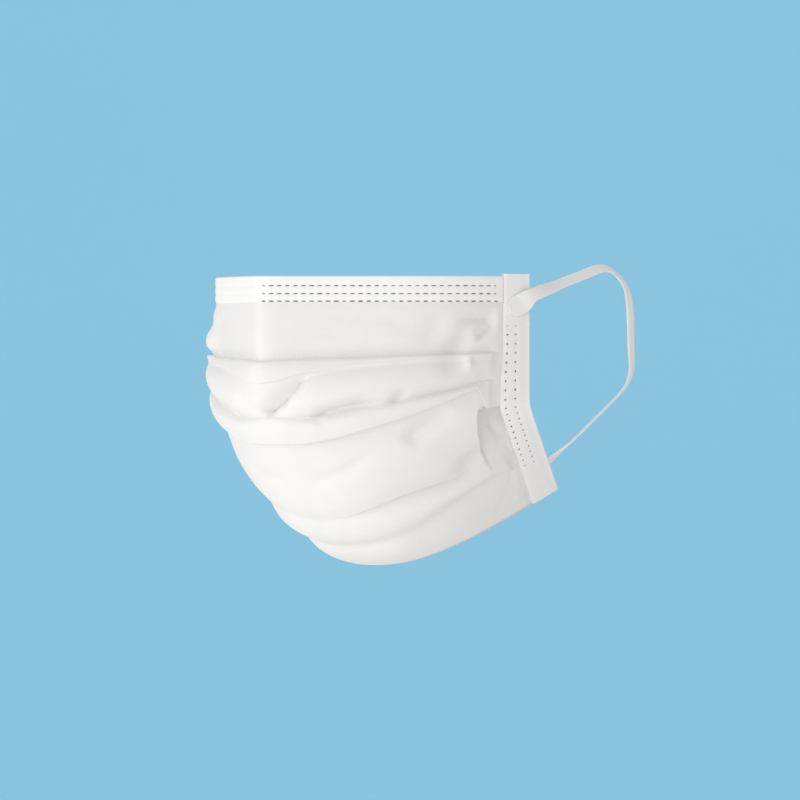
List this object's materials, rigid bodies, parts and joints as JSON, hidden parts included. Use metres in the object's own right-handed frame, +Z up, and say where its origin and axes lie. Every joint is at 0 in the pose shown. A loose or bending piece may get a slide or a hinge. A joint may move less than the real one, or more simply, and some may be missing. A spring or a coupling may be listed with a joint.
{
  "type": "surgical face mask",
  "caption": "Pleated white surgical face mask in its worn form, open behind, with a folded top hem, folded side bindings and flat elastic ear loops.",
  "frame": {"origin": "top of the mask's centre ridge, where it sits on the bridge of the wearer's nose", "axes": "+Z up, the wearer faces -Y, +X is the wearer's left"},
  "size_m": [0.1352, 0.1155, 0.0955],
  "materials": {
    "mask_cloth": "matt white nonwoven",
    "hem_cloth": "matt white nonwoven, welded",
    "binding_cloth": "matt white nonwoven, welded",
    "elastic": "knitted white elastic"
  },
  "bodies": {
    "root": {"mask_body": "mask_cloth", "top_hem": "hem_cloth", "binding_left": "binding_cloth", "binding_right": "binding_cloth", "ear_loop_left": "elastic", "ear_loop_right": "elastic"}
  },
  "joints": []
}
